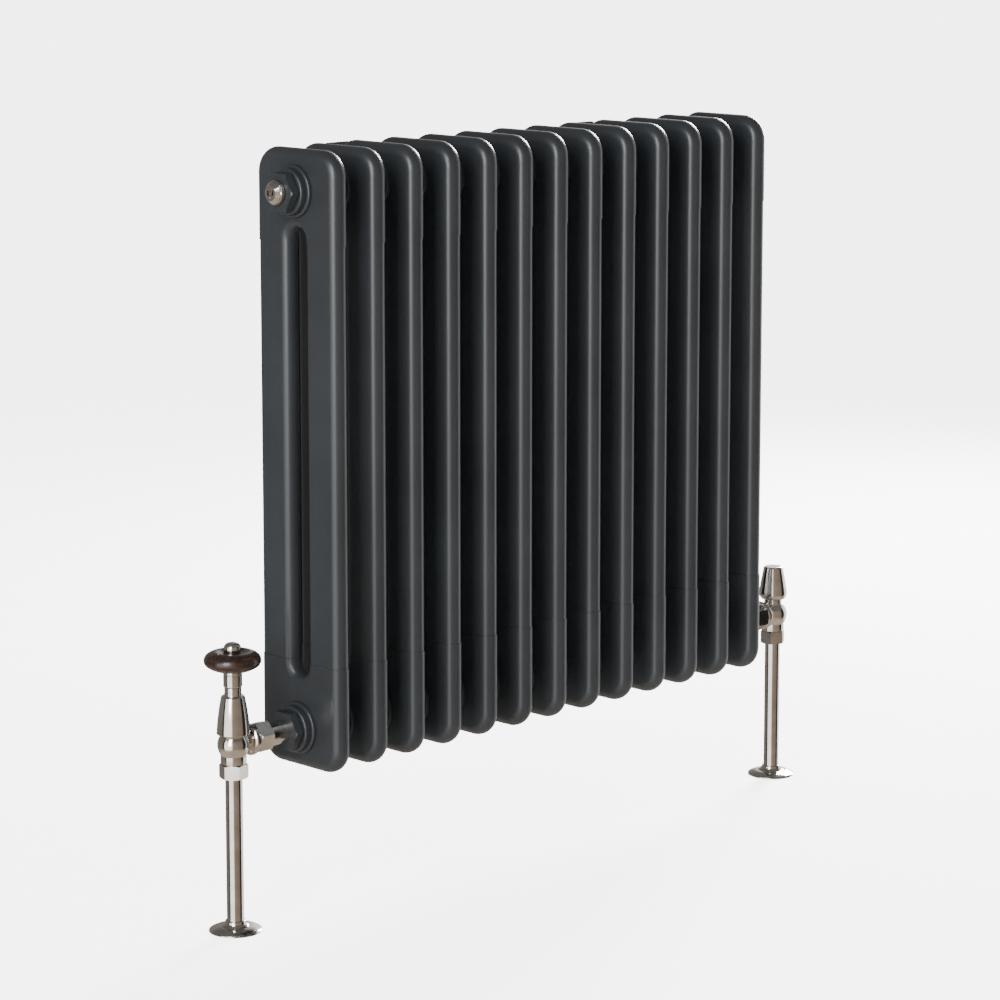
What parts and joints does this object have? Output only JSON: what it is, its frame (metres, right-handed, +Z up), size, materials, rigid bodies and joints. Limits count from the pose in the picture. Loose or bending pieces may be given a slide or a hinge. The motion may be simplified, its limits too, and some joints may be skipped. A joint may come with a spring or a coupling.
{
  "type": "column radiator with valves",
  "caption": "Wall-hung two-column steel radiator with a wooden-wheel thermostatic valve, a matching lockshield valve, sleeved pipe tails and floor roses.",
  "frame": {"origin": "on the wall face, at the centre of the four upper bracket screws, level with the upper tappings", "axes": "+X along the radiator from the thermostatic valve to the lockshield valve, +Y into the wall so the front faces -Y, +Z up; the finished floor is at z = -0.704 m"},
  "size_m": [0.8393, 0.145, 0.769],
  "materials": {
    "powder_coat": "satin anthracite powder coat",
    "polished_nickel": "polished nickel plate on brass",
    "bare_brass": "machined, unplated",
    "plain_steel": "machined stainless steel",
    "black_rubber": "matt moulded seal",
    "black_nylon": "moulded nylon",
    "dark_wood": "turned hardwood, dark stain and satin lacquer",
    "bracket_coat": "matt anthracite powder coat",
    "copper_pipe": "drawn copper tube"
  },
  "bodies": {
    "radiator": {"air_vent_plug": "polished_nickel", "blanking_plug": "polished_nickel", "bottom_hub_collars": "powder_coat", "bottom_left_bush": "powder_coat", "bottom_right_bush": "powder_coat", "bush_gaskets": "black_rubber", "compression_olives": "bare_brass", "cradle_liners": "black_nylon", "left_pipe_sleeve": "polished_nickel", "left_supply_pipe": "copper_pipe", "lockshield_body": "polished_nickel", "lockshield_compression_nut": "polished_nickel", "lockshield_headgear": "bare_brass", "lockshield_tail": "polished_nickel", "lockshield_union_nut": "polished_nickel", "lower_left_bracket": "bracket_coat", "lower_right_bracket": "bracket_coat", "plug_gaskets": "black_rubber", "right_pipe_sleeve": "polished_nickel", "right_supply_pipe": "copper_pipe", "section_01": "powder_coat", "section_02": "powder_coat", "section_03": "powder_coat", "section_04": "powder_coat", "section_05": "powder_coat", "section_06": "powder_coat", "section_07": "powder_coat", "section_08": "powder_coat", "section_09": "powder_coat", "section_10": "powder_coat", "section_11": "powder_coat", "section_12": "powder_coat", "section_13": "powder_coat", "top_hub_collars": "powder_coat", "top_left_bush": "powder_coat", "top_right_bush": "powder_coat", "trv_bell_housing": "polished_nickel", "trv_body": "polished_nickel", "trv_compression_nut": "polished_nickel", "trv_insert": "bare_brass", "trv_spring": "plain_steel", "trv_tail": "polished_nickel", "trv_union_nut": "polished_nickel", "union_washers": "black_rubber", "upper_left_bracket": "bracket_coat", "upper_right_bracket": "bracket_coat"},
    "trv_wheel_group": {"trv_wooden_wheel": "dark_wood", "trv_setting_dot": "bare_brass", "trv_cap_nut": "polished_nickel", "trv_ferrule": "polished_nickel", "trv_setting_screw": "plain_steel"},
    "trv_lift_group": {"trv_pin": "plain_steel", "trv_disc": "black_rubber", "trv_sensor_capsule": "bare_brass"},
    "lockshield_cap_body": {"lockshield_cap": "polished_nickel"},
    "lockshield_spindle_body": {"lockshield_spindle": "bare_brass"},
    "lockshield_jumper_body": {"lockshield_jumper": "bare_brass"},
    "air_vent_screw_body": {"air_vent_screw": "polished_nickel"},
    "left_rose_body": {"left_floor_rose": "polished_nickel"},
    "right_rose_body": {"right_floor_rose": "polished_nickel"}
  },
  "joints": [
    {"name": "trv_wheel_turn", "type": "hinge", "parent": "radiator", "child": "trv_wheel_group", "pos_m": [-0.393, -0.0885, -0.4394], "axis": [0, 0, 1], "range_deg": [0, 300]},
    {"name": "trv_pin_lift", "type": "slide", "parent": "radiator", "child": "trv_lift_group", "axis": [0, 0, 1], "range_m": [0, 0.003], "deforming": ["trv_spring"]},
    {"name": "lockshield_cap_lift", "type": "slide", "parent": "radiator", "child": "lockshield_cap_body", "axis": [0, 0, 1], "range_m": [0, 0.045]},
    {"name": "lockshield_spindle_turn", "type": "hinge", "parent": "radiator", "child": "lockshield_spindle_body", "pos_m": [0.393, -0.0885, -0.49], "axis": [0, 0, 1], "range_deg": [0, 1080]},
    {"name": "lockshield_jumper_lift", "type": "slide", "parent": "radiator", "child": "lockshield_jumper_body", "axis": [0, 0, 1], "range_m": [0, 0.005]},
    {"name": "air_vent_screw_turn", "type": "hinge", "parent": "radiator", "child": "air_vent_screw_body", "pos_m": [-0.336, -0.0885, 0], "axis": [-1, 0, 0], "range_deg": [0, 360]},
    {"name": "left_rose_lift", "type": "slide", "parent": "radiator", "child": "left_rose_body", "axis": [0, 0, 1], "range_m": [0, 0.12]},
    {"name": "right_rose_lift", "type": "slide", "parent": "radiator", "child": "right_rose_body", "axis": [0, 0, 1], "range_m": [0, 0.12]}
  ],
  "couplings": [
    {"joint": "trv_wheel_turn", "follows": "trv_pin_lift", "rad_per_m": 1745.3},
    {"joint": "lockshield_spindle_turn", "follows": "lockshield_jumper_lift", "rad_per_m": 3769.9}
  ]
}
